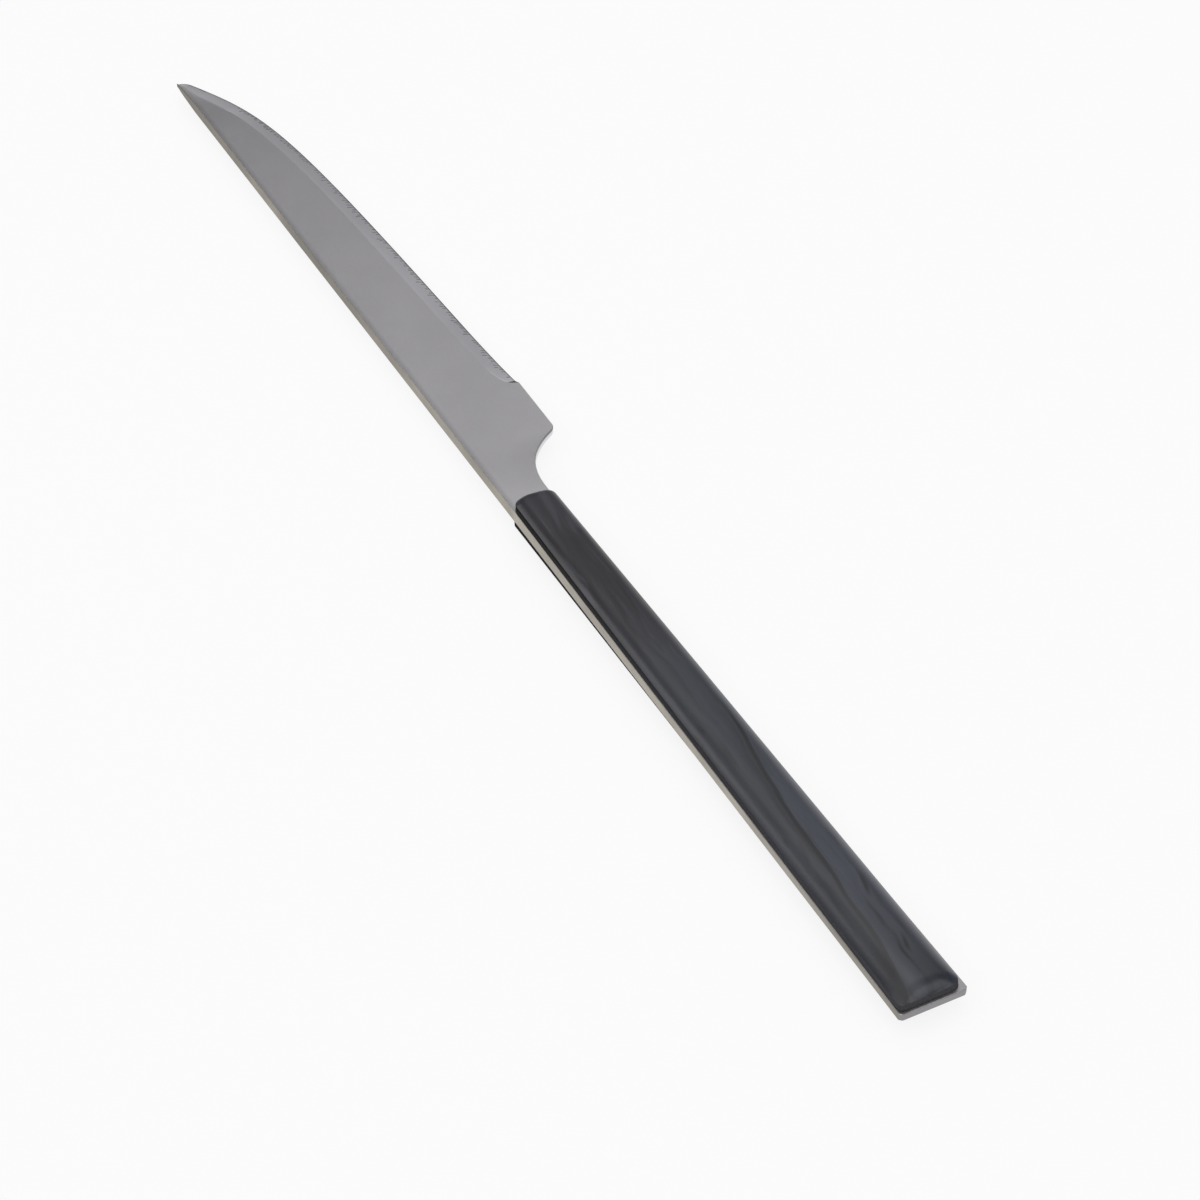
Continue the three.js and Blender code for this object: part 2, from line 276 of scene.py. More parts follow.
class KnifeStageSettings(bpy.types.PropertyGroup):
    heading: bpy.props.FloatProperty(
        name="Heading", description="Turn of the camera about the vertical axis",
        default=math.radians(60.3433), unit="ROTATION", subtype="ANGLE")
    pitch: bpy.props.FloatProperty(
        name="Pitch", description="Angle of the camera below the horizon",
        default=math.radians(47), unit="ROTATION", subtype="ANGLE")
    place: bpy.props.FloatVectorProperty(
        name="Camera place", description="Where the camera stands",
        default=(432.848 * MM, -238.377 * MM, 511.225 * MM), precision=5, unit="LENGTH", subtype="XYZ")
    lens: bpy.props.FloatProperty(
        name="Lens", description="Focal length for a 36 mm wide sensor, in millimetres", default=150)
    overhead: bpy.props.FloatProperty(
        name="Overhead light", description="Brightness of the overhead softbox, 1 is white",
        default=0.95)
    far_panel: bpy.props.FloatProperty(
        name="Far light", description="Brightness of the softbox beyond the knife, 1 is white",
        default=0.52)
    left_panel: bpy.props.FloatProperty(
        name="Left light", description="Brightness of the softbox on the left, 1 is white",
        default=1.95)
    right_panel: bpy.props.FloatProperty(
        name="Right light", description="Brightness of the softbox on the right, 1 is white",
        default=1.3)
    floor: colour_setting("Floor", "the floor", "#FBFBFB")


def mix(a, b, share):
    return a + (b - a) * share


def smooth(share):
    share = min(max(share, 0.0), 1.0)
    return share * share * (3 - 2 * share)


# Outline of the plate

def handle_share(x):
    return (x - BLADE_LENGTH) / HANDLE_LENGTH


def spine_y(x):
    if x < BLADE_LENGTH:
        return SPINE_DIP * x / BLADE_LENGTH
    return SPINE_DIP * (1 - handle_share(x))


def tang_far_y(x):
    return spine_y(x) + mix(FRONT_WIDTH, BUTT_WIDTH, handle_share(x))


def half_thickness(x):
    if x < BLADE_LENGTH:
        return mix(TIP_THICKNESS, FRONT_THICKNESS, x / BLADE_LENGTH) / 2
    return mix(FRONT_THICKNESS, BUTT_THICKNESS, handle_share(x)) / 2


def bezier(points, share):
    """Point of a Bezier curve of any degree at a share of the way."""
    points = [Vector(p) for p in points]
    while len(points) > 1:
        points = [a.lerp(b, share) for a, b in zip(points, points[1:])]
    return points[0]


def edge_curve():
    """The cutting edge as two lists, places along the blade and depths."""
    start = Vector((-NOSE_CUT, 0))
    end = Vector((GROUND_END, GROUND_DEPTH))
    tip_pull = Vector((math.cos(TIP_ANGLE), math.sin(TIP_ANGLE))) * TIP_PULL_SHARE * GROUND_END
    end_pull = Vector((math.cos(EDGE_END_ANGLE), math.sin(EDGE_END_ANGLE))) * EDGE_PULL_SHARE * GROUND_END
    guide = (start, start + tip_pull, end - end_pull, end)
    points = [bezier(guide, i / EDGE_CURVE_STEPS) for i in range(EDGE_CURVE_STEPS + 1)]
    return [p.x for p in points], [p.y for p in points]


EDGE_X, EDGE_Y = edge_curve()


def ground_edge_y(x):
    """Depth of the ground edge, rounded off at the nose."""
    sharp = float(np.interp(x, EDGE_X, EDGE_Y))
    sharp += EDGE_FALL * max((x - GROUND_END) / EDGE_FALL_LENGTH + 1, 0) ** 2
    if x >= NOSE_ROUND:
        return sharp
    rounded = math.sqrt(1 - (1 - x / NOSE_ROUND) ** 2)
    return mix(spine_y(x), sharp, mix(NOSE_BLUNT_SHARE, 1, rounded))


def heel_outline():
    """Points of land, heel corner and choil, from the end of the grind to the handle."""
    count = round(HEEL_LAND / MM)
    land = [(mix(LAND_START, CHOIL_START - HEEL_ROUND, i / count), HEEL_DEPTH) for i in range(count)]
    corner = [
        (CHOIL_START - HEEL_ROUND, HEEL_DEPTH),
        (CHOIL_START, HEEL_DEPTH),
        (CHOIL_START + HEEL_ROUND / 2, HEEL_DEPTH - HEEL_ROUND),
    ]
    neck_depth = tang_far_y(BLADE_LENGTH)
    hollow = [corner[-1], (CHOIL_START + CHOIL_DROP, neck_depth), (NECK_START, neck_depth)]
    turned = [tuple(bezier(corner, i / CORNER_POINTS)) for i in range(CORNER_POINTS)]
    cut = [tuple(bezier(hollow, i / (3 * CORNER_POINTS))) for i in range(3 * CORNER_POINTS + 1)]
    return land + turned + cut


# Tooth marks

class ToothRow:
    """Places, depths and reaches of the fine teeth, the same on every run."""

    def __init__(self, pitch, depth, height):
        draw = random.Random(TOOTH_SEED)
        self.depth = depth
        self.height = height
        self.places = []
        self.strengths = []
        self.reaches = []
        x = PLAIN_TIP
        while x < GROUND_END - pitch:
            self.places.append(x)
            strong = draw.random() < STRONG_SHARE
            self.strengths.append(draw.uniform(*(STRONG_DEPTH if strong else WEAK_DEPTH)))
            self.reaches.append(draw.uniform(*(STRONG_REACH if strong else WEAK_REACH)))
            x += pitch * draw.uniform(*PITCH_SPREAD)
        self.places = np.array(self.places)

    def cut(self, x, from_edge):
        """How deep a mark is cut in the ring at x, at a distance from the edge."""
        nearest = int(np.argmin(np.abs(self.places - x)))
        fade = 1 - smooth(from_edge / (self.height * self.reaches[nearest]))
        across = (x - self.places[nearest]) / TOOTH_HALF_WIDTH
        return self.depth * self.strengths[nearest] * fade * max(1 - across * across, 0)

    def deeply_marked(self, x, from_edge):
        """Whether a place on the bevel lies in one of the deeper marks."""
        x -= slant_shift(x, from_edge, self.height)
        nearest = int(np.argmin(np.abs(self.places - x)))
        return (self.strengths[nearest] > DEEP_MARK and from_edge < self.height * self.reaches[nearest]
                and abs(x - self.places[nearest]) < TOOTH_FLOOR_SHARE * TOOTH_HALF_WIDTH)

    def stations(self):
        """Places of the rings that carry the marks: rims, flanks and floor of each."""
        steps = (-TOOTH_HALF_WIDTH, -TOOTH_HALF_WIDTH / 2, 0, TOOTH_HALF_WIDTH / 2, TOOTH_HALF_WIDTH)
        return [place + step for place in self.places[1:] for step in steps]


def slant_shift(x, from_edge, height):
    """How far a point of a ring is moved along the blade, so that the marks lie at a slant."""
    fade = smooth((x - PLAIN_TIP) / SLANT_FADE) * smooth((GROUND_END - x) / SLANT_FADE)
    return -SLANT * fade * min(from_edge, height)


# Plate

def upper_section(x, edge_y, settings, teeth):
    """Upper half of a section from the middle of the spine wall to the middle of the far wall."""
    spine = spine_y(x)
    depth = edge_y - spine
    bevel_width = settings.bevel_width
    grind_half = GRIND_THICKNESS / 2
    edge_half = EDGE_THICKNESS / 2
    ground = x < LAND_START

    def bevel(y):
        share = min((edge_y - y) / bevel_width, 1)
        return mix(edge_half, grind_half, max(share, 0) ** HOLLOW)

    if ground:
        flat_width = depth - bevel_width
        nose_half = max(NOSE_THICKNESS / 2, bevel(spine))
        spine_half = min(half_thickness(x), nose_half + NOSE_SLOPE * max(flat_width, 0))
        reference = spine + max(flat_width, NOSE_FLAT_SHARE * depth)
        reference_half = bevel(reference)
    else:
        spine_half = half_thickness(x)
        reference = HEEL_DEPTH - bevel_width
        reference_half = mix(grind_half, spine_half, smooth((x - CHOIL_START) / (NECK_START - CHOIL_START)))
    slope = (spine_half - reference_half) / (reference - spine)

    def flat(y):
        return spine_half - slope * (y - spine)

    arris = min(settings.arris, depth / 5, spine_half / 3)
    if ground:
        run_out = min(max(x - (LAND_START - RUN_OUT), 0) / RUN_OUT, 1)
        rise = (flat(edge_y) - edge_half) * (1 - math.sqrt(1 - run_out * run_out))
        grind = reference
        if rise > 0:
            fall = (grind_half - edge_half) / bevel_width
            grind = (edge_half + rise + fall * edge_y - spine_half - slope * spine) / (fall - slope)
        far_half = edge_half + rise
        far_arris = arris * smooth((far_half - edge_half) / (2 * arris))

        def face(y):
            return bevel(y) + rise
    else:
        spread = smooth((x - LAND_START) / LAND_SPREAD)
        grind = edge_y - arris - (bevel_width - arris) * spread
        far_half = flat(edge_y)
        far_arris = arris
        face = flat
    grind = min(grind, edge_y - ARRIS_ROOM * far_arris - SLIVER)

    points = [(spine, (spine_half - arris) * share) for share in SPINE_SHARES]
    for i in range(ARRIS_POINTS):
        turn = math.pi / 2 * i / (ARRIS_POINTS - 1)
        points.append((spine + arris * (1 - math.cos(turn)), spine_half - arris * (1 - math.sin(turn))))
    for i in range(1, FLAT_POINTS + 1):
        y = mix(spine + arris, grind, i / FLAT_POINTS)
        points.append((y, flat(y)))
    for i in range(1, BEVEL_POINTS + 1):
        y = mix(grind, edge_y - far_arris, 1 - (1 - i / BEVEL_POINTS) ** BEVEL_SPACING)
        cut = teeth.cut(x, edge_y - y) if ground and x > PLAIN_TIP else 0
        points.append((y, max(face(y) - cut, edge_half / 2)))
    for i in range(1, ARRIS_POINTS):
        turn = math.pi / 2 * i / (ARRIS_POINTS - 1)
        drop = far_arris * (1 - math.cos(turn))
        points.append((edge_y - far_arris * (1 - math.sin(turn)), max(far_half - drop, edge_half / 2)))
    points.append((edge_y, points[-1][1] / 2))
    points.append((edge_y, 0.0))
    return points


def ring_from(x_at, points):
    """Closed ring of an upper section and its mirror image below, with no doubled point."""
    upper = [(x_at(y), y, z) for y, z in points]
    lower = [(x, y, -z) for x, y, z in reversed(upper[1:-1])]
    return upper + lower


def plate_rings(settings, teeth):
    """Every ring of the plate from nose to butt."""
    nose = [NOSE_LENGTH * (i / NOSE_RINGS) ** NOSE_SPACING for i in range(NOSE_RINGS)]
    plain = list(np.arange(NOSE_LENGTH, PLAIN_TIP, BLADE_STEP))
    marks = teeth.stations()
    between = [x for x in np.arange(PLAIN_TIP, GROUND_END, TOOTH_STEP)
               if min(abs(x - place) for place in marks) > TOOTH_HALF_WIDTH / 2]
    plunge = list(np.arange(GROUND_END, LAND_START - SLIVER, PLUNGE_STEP))
    rings = []

    def add(x, edge_y):
        rings.append(ring_from(
            lambda y: x + slant_shift(x, edge_y - y, settings.tooth_height),
            upper_section(x, edge_y, settings, teeth)))

    for x in nose + plain + sorted(marks + between) + plunge:
        past = (x - GROUND_END) / PLUNGE_LENGTH
        add(x, ground_edge_y(x) if past < 0 else mix(ground_edge_y(GROUND_END), HEEL_DEPTH, smooth(past)))
    for x, edge_y in heel_outline():
        add(x, edge_y)
    straight_end = LENGTH - BUTT_RAKE - 2 * BUTT_CHAMFER
    for x in np.arange(BLADE_LENGTH, straight_end, TANG_STEP):
        add(x, tang_far_y(x))

    def butt_ring(back, cut, arris_in):
        """Raked ring, set back from the end, with its corners cut and its arris pulled in."""
        x = LENGTH - back
        plain_section = upper_section(x, tang_far_y(x), settings, teeth)
        near, far = spine_y(x), tang_far_y(x)
        shrink = 1 - 2 * (cut + arris_in) / (far - near)
        middle = (near + far) / 2
        half = half_thickness(x)
        points = [(middle + (y - middle) * shrink, z * (1 - arris_in / half)) for y, z in plain_section]
        return ring_from(lambda y: x - BUTT_RAKE * (1 - (y - near) / (far - near)), points)

    arris = settings.arris
    start = arris * ARRIS_START
    rings.append(butt_ring(BUTT_CHAMFER, 0, 0))
    rings.append(butt_ring(arris, BUTT_CHAMFER - arris, 0))
    rings.append(butt_ring(start, BUTT_CHAMFER - start, start))
    rings.append(butt_ring(0, BUTT_CHAMFER, arris))
    return rings


def plate_finish(face, across, teeth):
    """Finish of a face of the plate, across being its number in its ring, counted from the spine."""
    x = face.center.x - PLATE_LOW.x
    from_edge = ground_edge_y(x) - (face.center.y - PLATE_LOW.y)
    first_bevel = len(SPINE_SHARES) + ARRIS_POINTS + FLAT_POINTS - 1
    # Faces turned to the tip, the cutting line, the notch and the deeper tooth marks take the dark finish
    # of the cuts: painted shade, and a painted dark reflection along the cutting line
    faces_tip = face.normal.x < -SIDELONG
    if x < LAND_START and first_bevel <= across < first_bevel + BEVEL_POINTS:
        in_notch = x > GROUND_END + NOTCH_START and from_edge < NOTCH_WIDTH
        cut = in_notch or from_edge < HONED_WIDTH or teeth.deeply_marked(x, from_edge)
        return CUTS_IN_PAINTED_SHADE if cut or faces_tip else GROUND
    if GROUND_END < x < LAND_START and faces_tip:
        return CUTS_IN_PAINTED_SHADE
    if abs(face.normal.z) < STEEP:
        if face.normal.x > STEEP and x > NECK_START:
            return BUTT_GROUND
        in_choil = CHOIL_START - HEEL_ROUND < x < NECK_START - NECK_LENGTH
        return POLISHED if in_choil and face.normal.y > 0 else BLANKED
    if abs(face.normal.z) < EASED:
        # Eased corners that face down take the darker finish of the ground end: painted shade
        return EASED_CORNER if face.normal.z > 0 else BUTT_GROUND
    return SATIN


def to_frame(point):
    """From lengths along the plate, depths from its spine and heights from its middle to the frame."""
    x, y, z = point
    return PLATE_LOW.x + x, PLATE_LOW.y + y, MID_HEIGHT + z


def new_piece(name, points, faces):
    """Object in the scene with a mesh of its own."""
    mesh = bpy.data.meshes.new(name)
    mesh.from_pydata(points, [], faces)
    piece = bpy.data.objects.new(name, mesh)
    bpy.context.scene.collection.objects.link(piece)
    return piece


def skinned(name, rings, sharp_angle):
    """Closed mesh through rings of equally many points, with a fan at both ends."""
    count = len(rings[0])
    points = [to_frame(p) for ring in rings for p in ring]
    faces = []
    for r in range(len(rings) - 1):
        for i in range(count):
            a = r * count + i
            b = r * count + (i + 1) % count
            faces.append((a, a + count, b + count, b))
    for ring, first, turn in ((rings[0], 0, 1), (rings[-1], (len(rings) - 1) * count, -1)):
        points.append(to_frame([sum(axis) / count for axis in zip(*ring)]))
        apex = len(points) - 1
        for i in range(count):
            a, b = first + i, first + (i + 1) % count
            faces.append((apex, a, b)[::turn])
    piece = new_piece(name, points, faces)
    piece.data.validate()
    piece.data.shade_smooth()
    piece.data.set_sharp_from_angle(angle=sharp_angle)
    return piece


# Scales

def scale_outline(side, front_inset, butt_inset):
    """Outline of a scale as points in order, drawn in at its front and its butt."""
    front_x = BLADE_LENGTH + FRONT_RAKE
    near_front = NEAR_LEDGE_FRONT if side > 0 else LOWER_LEDGE
    near_butt = NEAR_LEDGE_BUTT if side > 0 else LOWER_LEDGE
    near_round = NEAR_FRONT_ROUND if side > 0 else LOWER_FRONT_ROUND
    corners = (
        (Vector((BLADE_LENGTH, spine_y(BLADE_LENGTH) + near_front)), front_inset, front_inset, near_round),
        (Vector((LENGTH - BUTT_RAKE - BUTT_LEDGE, near_butt)), -butt_inset, butt_inset, NEAR_BUTT_ROUND),
        (Vector((LENGTH - BUTT_LEDGE, tang_far_y(LENGTH) - FAR_LEDGE_BUTT)), -butt_inset, -butt_inset,
         FAR_BUTT_ROUND),
        (Vector((front_x, tang_far_y(front_x) - FAR_LEDGE_FRONT)), front_inset, -front_inset,
         FAR_FRONT_ROUND),
    )
    placed = [
        (corner + Vector((dx, dy)), max(size - abs(dx), size * LEAST_ROUND_SHARE))
        for corner, dx, dy, size in corners
    ]
    outline = []
    for i, (corner, size) in enumerate(placed):
        before = placed[i - 1][0] - corner
        after_corner, after_size = placed[(i + 1) % 4]
        after = after_corner - corner
        start = corner + before.normalized() * size
        end = corner + after.normalized() * size
        outline += [bezier((start, corner, end), j / CORNER_POINTS) for j in range(CORNER_POINTS)]
        reach = after_corner - after.normalized() * after_size
        count = SIDE_POINTS if i % 2 == 0 else END_POINTS
        outline += [end.lerp(reach, j / count) for j in range(count)]
    return outline


def wall_top(x):
    """Height of the top of a scale's side wall above the plate's middle."""
    return half_thickness(x) + FILM_ROOM + mix(FRONT_WALL, BUTT_WALL, handle_share(x))


def middle_y(x):
    """Depth of a scale's middle line."""
    share = handle_share(x)
    near = mix(NEAR_LEDGE_FRONT, NEAR_LEDGE_BUTT, share)
    far = mix(FAR_LEDGE_FRONT, FAR_LEDGE_BUTT, share)
    return (spine_y(x) + near + tang_far_y(x) - far) / 2


def squared(x, y):
    """Place along the handle as if both of its ends were cut square."""
    front_lean = FRONT_RAKE * (y - spine_y(BLADE_LENGTH)) / FRONT_WIDTH
    butt_lean = BUTT_RAKE * (y / BUTT_WIDTH - 1)
    return x - mix(front_lean, butt_lean, min(max(handle_share(x), 0), 1))


def side_line(outline, chosen):
    """One long side of an outline as sorted squared places and depths."""
    points = sorted((squared(p.x, p.y), p.y) for p in outline if chosen(p))
    return [x for x, y in points], [y for x, y in points]


def crown_rings(settings, side, outline):
    """Rings that climb from the top of the wall to the middle line of a pillow-shaped crown."""
    top = UPPER_TOP - MID_HEIGHT
    near_line = side_line(outline, lambda p: p.y < middle_y(p.x))
    far_line = side_line(outline, lambda p: p.y >= middle_y(p.x))
    front = near_line[0][0]
    butt = near_line[0][-1]

    def rise(share, fullness):
        return 1 - (1 - min(max(share, 0), 1)) ** fullness

    def crown(x, y):
        """How far up the crown is at a place, from nothing at the outline to 1 in the middle."""
        middle = middle_y(x)
        place = squared(x, y)
        to_rear = smooth((place - front) / FRONT_PART)
        far_fullness = mix(settings.far_front_fullness, settings.far_fullness, to_rear)
        line, fullness = (near_line, settings.near_fullness) if y < middle else (far_line, far_fullness)
        rim = float(np.interp(place, *line))
        across = rise((y - rim) / (middle - rim), fullness)
        from_front = rise((place - front) / settings.front_reach, settings.front_fullness)
        from_butt = rise((butt - place) / settings.butt_reach, settings.butt_fullness)
        return across * mix(FRONT_START, 1, from_front) * from_butt

    rings = []
    for i in range(1, CROWN_POINTS + 1):
        share = CROWN_END * (i / CROWN_POINTS) ** CROWN_SPACING
        ring = []
        for p in outline:
            x = min(max(p.x, front + CROWN_PULL), butt - CROWN_PULL)
            spot = p.lerp(Vector((x, middle_y(x))), share)
            ring.append((spot.x, spot.y, side * mix(wall_top(spot.x), top, crown(spot.x, spot.y))))
        rings.append(ring)
    return rings


def scale_rings(settings, side):
    """Rings of a scale from its seat to its crown, on the upper or the lower side."""
    set_back = LOWER_SETBACK if side < 0 else 0

    def bed(x):
        return half_thickness(x) + FILM_ROOM

    def rim(x):
        return half_thickness(x) + RIM_GAP

    def ring(front_inset, butt_inset, height):
        outline = scale_outline(side, front_inset, butt_inset + set_back)
        return [(p.x, p.y, side * height(p.x)) for p in outline]

    rings = [
        ring(RIM_WIDTH, RIM_WIDTH, bed),
        ring(RIM_WIDTH, RIM_WIDTH, rim),
        ring(0, 0, rim),
        ring(FRONT_LEAN, BUTT_LEAN, wall_top),
    ]
    rings += crown_rings(settings, side, scale_outline(side, FRONT_LEAN, BUTT_LEAN + set_back))
    return rings if side < 0 else [r[::-1] for r in rings]


# Materials

def linear(text):
    """Linear RGBA of an sRGB hex colour."""
    channels = [int(text[i:i + 2], 16) / 255 for i in (1, 3, 5)]
    return [c / 12.92 if c <= 0.04045 else ((c + 0.055) / 1.055) ** 2.4 for c in channels] + [1.0]


def add_node(tree, kind, inputs=None, **settings):
    """Adds a node with its settings and inputs: values, sockets, or nodes for their first output."""
    made = tree.nodes.new("ShaderNode" + kind)
    for name, value in settings.items():
        setattr(made, name, value)
    for key, value in (inputs or {}).items():
        if isinstance(value, bpy.types.Node):
            value = value.outputs[0]
        if isinstance(value, bpy.types.NodeSocket):
            tree.links.new(value, made.inputs[key])
        else:
            made.inputs[key].default_value = value
    return made


# Settings of a map range that eases in and out
EASY = {"interpolation_type": "SMOOTHSTEP"}


def new_material(name):
    """Empty node material and its tree."""
    material = bpy.data.materials.new(name)
    material.use_nodes = True
    material.node_tree.nodes.clear()
    return material, material.node_tree


def real_places(tree):
    """Millimetres from the tip, the spine and the plate's middle, so that a pattern has its real size."""
    places = add_node(tree, "TexCoord")
    moved = add_node(tree, "VectorMath", {
        0: places.outputs["Object"], 1: (-PLATE_LOW.x, -PLATE_LOW.y, -MID_HEIGHT)}, operation="ADD")
    return add_node(tree, "VectorMath", {0: moved, "Scale": 1 / MM}, operation="SCALE").outputs[0]


def follow(tree, place, spots, top=1):
    """Value that follows spots of place and value, none of them over a top value."""
    first, last = spots[0][0], spots[-1][0]
    share = add_node(tree, "MapRange", {"Value": place, "From Min": first, "From Max": last})
    line = add_node(tree, "FloatCurve", {"Value": share})
    points = line.mapping.curves[0].points
    shares = [((x - first) / (last - first), value / top) for x, value in spots]
    points[0].location = shares[0]
    points[1].location = shares[-1]
    for spot in shares[1:-1]:
        points.new(*spot)
    line.mapping.update()
    return add_node(tree, "Math", {0: line, 1: top}, operation="MULTIPLY").outputs[0]


# How bright a finish of the plate is along the knife: places from the tip in millimetres, and tones. Where
# they are not even, the tones are painted reflection and shade
EVEN_TONES = ((0, 1), (211, 1))
# Painted reflection on the satin flats: darker at the tip, brightest in the middle of the blade
FLAT_TONES = (
    (0, 0.7), (6, 0.76), (15, 0.885), (25, 0.945), (40, 0.97), (55, 1), (70, 0.99), (80, 0.97),
    (104, 0.95), (112, 0.67), (211, 0.67),
)
# Painted reflection on the ground bevel: darker towards the tip
BEVEL_TONES = ((0, 0.74), (20, 0.79), (30, 0.84), (45, 0.93), (60, 1), (75, 0.94), (90, 0.94))
# Painted reflection and shade on the plate's blanked edges, along the knife
EDGE_TONES = (
    (0, 0.54), (12, 0.53), (24, 0.66), (30, 0.72), (38, 0.55), (50, 0.52), (60, 0.66), (70, 0.68),
    (80, 0.78), (92, 0.84), (105.3, 0.8), (105.8, 0.99), (114, 0.91), (127, 0.88), (142, 0.98),
    (160, 0.88), (178, 0.87), (190, 0.75), (205, 0.65), (211, 0.65),
)
# Eased corners: a painted dark reflection along the blade and a painted highlight along the handle
ARRIS_TONES = (
    (0, 0.35), (40, 0.36), (65, 0.45), (80, 0.57), (105.3, 0.52), (105.8, 0.95), (135, 1), (175, 1),
    (190, 0.85), (211, 0.68),
)
# Painted shade, darker still in the notch where the grind stops before the heel
CUT_TONES = ((0, 1), (82.2, 1), (82.6, 0.4), (211, 0.4))

# How bright a finish is by its height above the middle of the plate, in millimetres: even, and with painted
# dark reflections as rims along the wall of the choil
EVEN_HEIGHTS = ((-2, 1), (2, 1))
CHOIL_RIM_REFLECTIONS = ((-1.1, 0.25), (-0.8, 0.35), (-0.65, 1), (0.05, 1), (0.3, 0.35), (1.1, 0.15))

# Width of the darker strip beside the spine, in millimetres
SPINE_STRIP_WIDTH = 0.9

# Size of the duller patches that handling leaves on steel, in millimetres
PATCH_SIZE = 9

# How far the roughness of steel varies with its grain, and how high scratches stand
ROUGHNESS_SPREAD = 0.04
SCRATCH_HEIGHT = 0.02 * MM


def steel_material(name, colour, roughness, grain, contrast, bump, stretch=(1, 1, 1),
                   tones=EVEN_TONES, spine_tone=1, height_tones=EVEN_HEIGHTS):
    """Stainless steel whose grain, in millimetres, is drawn out along axes of little stretch."""
    material, tree = new_material(name)
    places = real_places(tree)
    stretched = add_node(tree, "Mapping", {"Vector": places, "Scale": stretch})
    streaks = add_node(tree, "TexNoise", {
        "Vector": stretched, "Scale": 1 / grain, "Detail": 5, "Roughness": 0.6})
    patches = add_node(tree, "TexNoise", {"Vector": places, "Scale": 1 / PATCH_SIZE, "Detail": 3})
    both = add_node(tree, "Math", {0: streaks, 1: 0.75, 2: patches}, operation="MULTIPLY_ADD")
    tone = add_node(tree, "MapRange", {
        "Value": both, "From Min": 0.5, "From Max": 1.25, "To Min": 1 - contrast, "To Max": 1 + contrast})
    axes = add_node(tree, "SeparateXYZ", {"Vector": places})
    # Tones along the blade and by height: painted reflection and shade, where their tables are not even
    toned = add_node(tree, "Math", {0: tone, 1: follow(tree, axes.outputs["X"], tones)},
                     operation="MULTIPLY")
    toned = add_node(tree, "Math", {
        0: toned, 1: follow(tree, axes.outputs["Z"], height_tones)}, operation="MULTIPLY")
    from_spine = add_node(tree, "Math", {
        0: axes.outputs["X"], 1: -SPINE_DIP / BLADE_LENGTH, 2: axes.outputs["Y"]}, operation="MULTIPLY_ADD")
    beside_spine = add_node(tree, "MapRange", {
        "Value": from_spine, "From Max": SPINE_STRIP_WIDTH, "To Min": spine_tone})
    toned = add_node(tree, "Math", {0: toned, 1: beside_spine}, operation="MULTIPLY")
    tinted = add_node(tree, "VectorMath", {0: linear(colour)[:3], "Scale": toned}, operation="SCALE")
    dull = add_node(tree, "MapRange", {
        "Value": streaks, "From Min": 0.3, "From Max": 0.7,
        "To Min": roughness - ROUGHNESS_SPREAD, "To Max": roughness + ROUGHNESS_SPREAD})
    relief = add_node(tree, "Bump", {"Height": streaks, "Strength": bump, "Distance": SCRATCH_HEIGHT})
    shader = add_node(tree, "BsdfPrincipled", {
        "Base Color": tinted, "Metallic": 1.0, "Roughness": dull, "Normal": relief})
    add_node(tree, "OutputMaterial", {"Surface": shader})
    return material


# The plate's finishes as numbers of its material slots
SATIN, GROUND, BLANKED, BUTT_GROUND, POLISHED, EASED_CORNER, CUTS_IN_PAINTED_SHADE = range(7)


def plate_materials(finish):
    """The plate's finishes, in the order of their names above."""
    return (
        # Stainless steel, satin blasted and tumble-finished: a matte sheen, with a painted reflection that
        # changes its brightness along the blade, and a darker strip beside the spine
        steel_material("satin_stainless_steel", finish.steel, roughness=0.36, grain=0.35,
                       contrast=0.05, bump=0.15, tones=FLAT_TONES, spine_tone=0.72),
        # Stainless steel, ground across the edge: fine lines, and a painted reflection that makes it a
        # little brighter and darker towards the tip
        steel_material("ground_stainless_steel", finish.bevel, roughness=0.33, grain=0.5,
                       contrast=0.07, bump=0.3, stretch=(3.5, 0.5, 1), tones=BEVEL_TONES),
        # Stainless steel as blanked and deburred: dull, warm and a little streaky, its brightness along the
        # knife painted reflection and shade
        steel_material("blanked_stainless_steel", finish.blanked_edge, roughness=0.5, grain=0.6,
                       contrast=0.3, bump=0.4, stretch=(0.12, 3, 3), tones=EDGE_TONES),
        # Stainless steel, ground flush with the scales at the butt: dull and neutral; on the eased corners
        # that face down its darker colour is painted shade
        steel_material("butt_ground_stainless_steel", finish.ground_end, roughness=0.5, grain=0.5,
                       contrast=0.1, bump=0.4, stretch=(3, 0.5, 3)),
        # Stainless steel, polished where the finger rests: it mirrors the pale table between dark rims that
        # are painted reflections
        steel_material("polished_stainless_steel", finish.bright, roughness=0.16, grain=0.5,
                       contrast=0.03, bump=0.1, stretch=(1, 1, 3), height_tones=CHOIL_RIM_REFLECTIONS),
        # Stainless steel, corners eased by hand: a thin warm line, with a painted dark reflection along the
        # blade and a painted highlight along the handle
        steel_material("eased_stainless_steel", finish.arris, roughness=0.4, grain=0.5,
                       contrast=0.15, bump=0.2, stretch=(0.2, 3, 3), tones=ARRIS_TONES),
        # Stainless steel in the cuts, dull from a coarse wheel: its dark colour is painted shade in the
        # deeper tooth marks, in the notch before the heel and on faces turned to the tip, and a painted
        # dark reflection along the cutting line
        steel_material("shaded_cuts_stainless_steel", finish.cuts, roughness=0.5, grain=0.4,
                       contrast=0.35, bump=0.3, tones=CUT_TONES),
    )


# The long dark vein of the upper scale: places from the tip and from the spine, in millimetres
VEIN = (
    (150, 6.9), (158, 6.3), (163.2, 5.6), (167.7, 5.0), (171.9, 4.5), (177.4, 4.1), (186.5, 3.75),
    (190.5, 3.35), (198.2, 3.1), (202, 2.65), (204.7, 2.15), (209.9, 1.3),
)
VEIN_HALF_WIDTH = 0.42
# Depth that its curve reaches at most
VEIN_SPAN = 10

